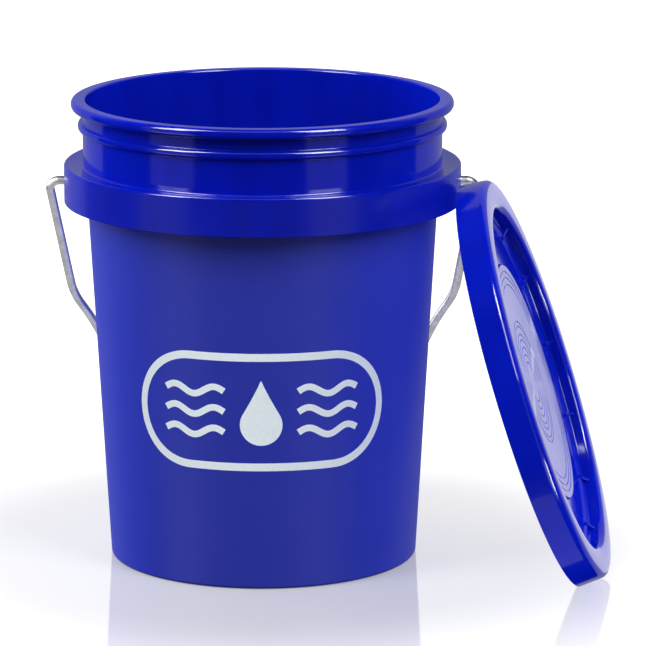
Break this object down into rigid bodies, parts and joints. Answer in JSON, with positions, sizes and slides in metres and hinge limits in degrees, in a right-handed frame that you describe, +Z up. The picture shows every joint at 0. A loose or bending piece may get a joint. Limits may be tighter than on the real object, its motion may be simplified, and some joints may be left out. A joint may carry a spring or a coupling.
{
  "type": "wash bucket",
  "caption": "Moulded plastic pail with a stacking skirt, a steel bail with a roller grip, and a press-on lid with a gasket leaning beside it.",
  "frame": {"origin": "on the floor, under the middle of the bounding box of the whole set; the pail's axis is at x -0.052, y 0.045", "axes": "+Z up; +X from the pail towards the leaning lid; +Y towards the back, where the bail hangs"},
  "size_m": [0.4488, 0.4046, 0.368],
  "materials": {
    "pail_plastic": "moulded polyethylene, glossy at the rim, satin on the tapered wall",
    "lid_plastic": "glossy moulded polyethylene",
    "grip_plastic": "satin moulded plastic",
    "bail_steel": "galvanised wire",
    "gasket_rubber": "matt foamed rubber"
  },
  "bodies": {
    "pail": {"bucket_body": "pail_plastic"},
    "bail": {"bail_wire": "bail_steel"},
    "grip": {"bail_grip": "grip_plastic"},
    "lid": {"lid": "lid_plastic", "lid_gasket": "gasket_rubber"}
  },
  "joints": [
    {"name": "bail_swing", "type": "hinge", "parent": "pail", "child": "bail", "pos_m": [-0.0524, 0.0453, 0.3014], "axis": [1, 0, 0], "range_deg": [0, 205]},
    {"name": "grip_spin", "type": "hinge", "parent": "bail", "child": "grip", "pos_m": [-0.0524, 0.1845, 0.083], "axis": [1, 0, 0], "continuous": true},
    {"name": "lid_lift", "type": "slide", "parent": "pail", "child": "lid", "axis": [0.7027, -0.0788, 0.7071], "range_m": [0, 0.35]}
  ]
}
